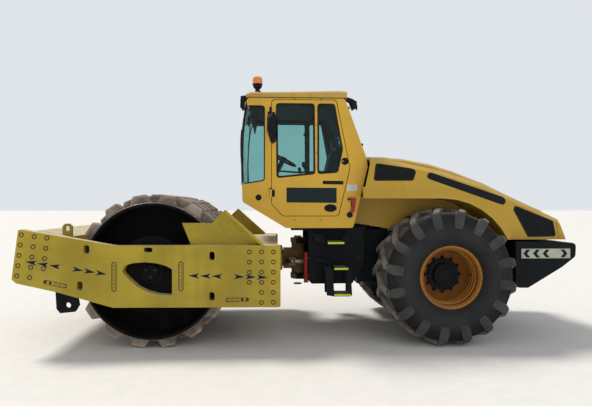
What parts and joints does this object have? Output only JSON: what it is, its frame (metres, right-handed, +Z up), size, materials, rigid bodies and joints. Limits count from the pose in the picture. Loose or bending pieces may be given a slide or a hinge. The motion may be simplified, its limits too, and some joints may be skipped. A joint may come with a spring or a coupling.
{
  "type": "articulated padfoot soil compactor",
  "caption": "Articulated single-drum soil compactor: padfoot drum in a front frame, glazed cab, sloping engine hood, two lugged drive tyres at the rear.",
  "frame": {"origin": "centre of the footprint on the ground, under the middle of the machine", "axes": "+X forward to the drum end, +Y to the driver's left, +Z up"},
  "size_m": [6.4754, 2.39, 3.224],
  "materials": {
    "frame_yellow": "semi-gloss",
    "body_yellow": "semi-gloss",
    "rim_orange": "semi-gloss",
    "dark_paint": "satin",
    "steel": "worn",
    "drum_steel": "dusty",
    "tyre": "dusty",
    "glass": "tinted",
    "black_plastic": "matte",
    "beacon_orange": "glossy",
    "red_paint": "semi-gloss",
    "seat_fabric": "woven",
    "cast": "cast"
  },
  "bodies": {
    "rear": {"beacon": "beacon_orange", "cab_back": "body_yellow", "cab_floor": "dark_paint", "cab_glass": "glass", "cab_nose": "body_yellow", "cab_roof": "body_yellow", "cab_wall_left": "body_yellow", "cab_wall_right": "body_yellow", "centre_pin": "steel", "counterweight": "cast", "engine_block": "cast", "hood_hinge": "dark_paint", "lock_bar": "red_paint", "mirror_left": "black_plastic", "mirror_right": "black_plastic", "rear_axle": "dark_paint", "rear_frame": "dark_paint", "seat": "seat_fabric", "steering_console": "black_plastic", "steps_left": "dark_paint", "steps_right": "dark_paint", "work_lamps": "black_plastic"},
    "centre": {"centre_joint": "dark_paint"},
    "front": {"drum_carrier_left": "dark_paint", "drum_carrier_right": "dark_paint", "front_crossbeam": "frame_yellow", "guard_left": "frame_yellow", "guard_right": "frame_yellow", "rear_crossbeam": "frame_yellow", "scraper_front": "dark_paint", "scraper_rear": "dark_paint", "side_beam_left": "frame_yellow", "side_beam_right": "frame_yellow", "tow_bracket_left": "dark_paint", "tow_bracket_right": "dark_paint"},
    "drum": {"drum_disc_left": "dark_paint", "drum_disc_right": "dark_paint", "drum_shell": "drum_steel"},
    "wheel_left": {"hub_left": "dark_paint", "rim_left": "rim_orange", "tyre_left": "tyre"},
    "wheel_right": {"hub_right": "dark_paint", "rim_right": "rim_orange", "tyre_right": "tyre"},
    "door_left": {"door_glass_left": "glass", "door_left": "body_yellow"},
    "door_right": {"door_glass_right": "glass", "door_right": "body_yellow"},
    "hood": {"hood_grille_left": "black_plastic", "hood_grille_right": "black_plastic", "hood_shell": "body_yellow"},
    "barrel_left": {"steer_barrel_left": "dark_paint"},
    "barrel_right": {"steer_barrel_right": "dark_paint"},
    "ram_left": {"steer_rod_left": "steel"},
    "ram_right": {"steer_rod_right": "steel"}
  },
  "joints": [
    {"name": "steer", "type": "hinge", "parent": "rear", "child": "centre", "pos_m": [0.045, 0, 0.9], "axis": [0, 0, 1], "range_deg": [-35, 35]},
    {"name": "oscillation", "type": "hinge", "parent": "centre", "child": "front", "pos_m": [0.3, 0, 0.92], "axis": [1, 0, 0], "range_deg": [-12, 12]},
    {"name": "drum_spin", "type": "hinge", "parent": "front", "child": "drum", "pos_m": [1.75, 0, 0.88], "axis": [0, 1, 0], "continuous": true},
    {"name": "wheel_left_spin", "type": "hinge", "parent": "rear", "child": "wheel_left", "pos_m": [-1.66, 0.8375, 0.8], "axis": [0, 1, 0], "continuous": true},
    {"name": "wheel_right_spin", "type": "hinge", "parent": "rear", "child": "wheel_right", "pos_m": [-1.66, -0.8375, 0.8], "axis": [0, 1, 0], "continuous": true},
    {"name": "door_left_swing", "type": "hinge", "parent": "rear", "child": "door_left", "pos_m": [0.412, 0.775, 2], "axis": [0, 0, 1], "range_deg": [-65, 0]},
    {"name": "door_right_swing", "type": "hinge", "parent": "rear", "child": "door_right", "pos_m": [0.412, -0.775, 2], "axis": [0, 0, 1], "range_deg": [0, 65]},
    {"name": "hood_lift", "type": "hinge", "parent": "rear", "child": "hood", "pos_m": [-0.86, 0, 2.21], "axis": [0, 1, 0], "range_deg": [0, 40]},
    {"name": "barrel_left_pivot", "type": "hinge", "parent": "rear", "child": "barrel_left", "pos_m": [-0.62, 0.23, 0.9], "axis": [0, 0, 1], "range_deg": [-4, 4]},
    {"name": "ram_left_slide", "type": "slide", "parent": "barrel_left", "child": "ram_left", "axis": [0.9992, 0.04, 0], "range_m": [-0.16, 0.16]},
    {"name": "barrel_right_pivot", "type": "hinge", "parent": "rear", "child": "barrel_right", "pos_m": [-0.62, -0.23, 0.9], "axis": [0, 0, 1], "range_deg": [-4, 4]},
    {"name": "ram_right_slide", "type": "slide", "parent": "barrel_right", "child": "ram_right", "axis": [0.9992, -0.04, 0], "range_m": [-0.16, 0.16]}
  ],
  "couplings": [
    {"joint": "barrel_left_pivot", "follows": "steer", "ratio": 0.105},
    {"joint": "ram_left_slide", "follows": "steer", "m_per_rad": -0.2454},
    {"joint": "barrel_right_pivot", "follows": "steer", "ratio": 0.105},
    {"joint": "ram_right_slide", "follows": "steer", "m_per_rad": 0.2454}
  ]
}
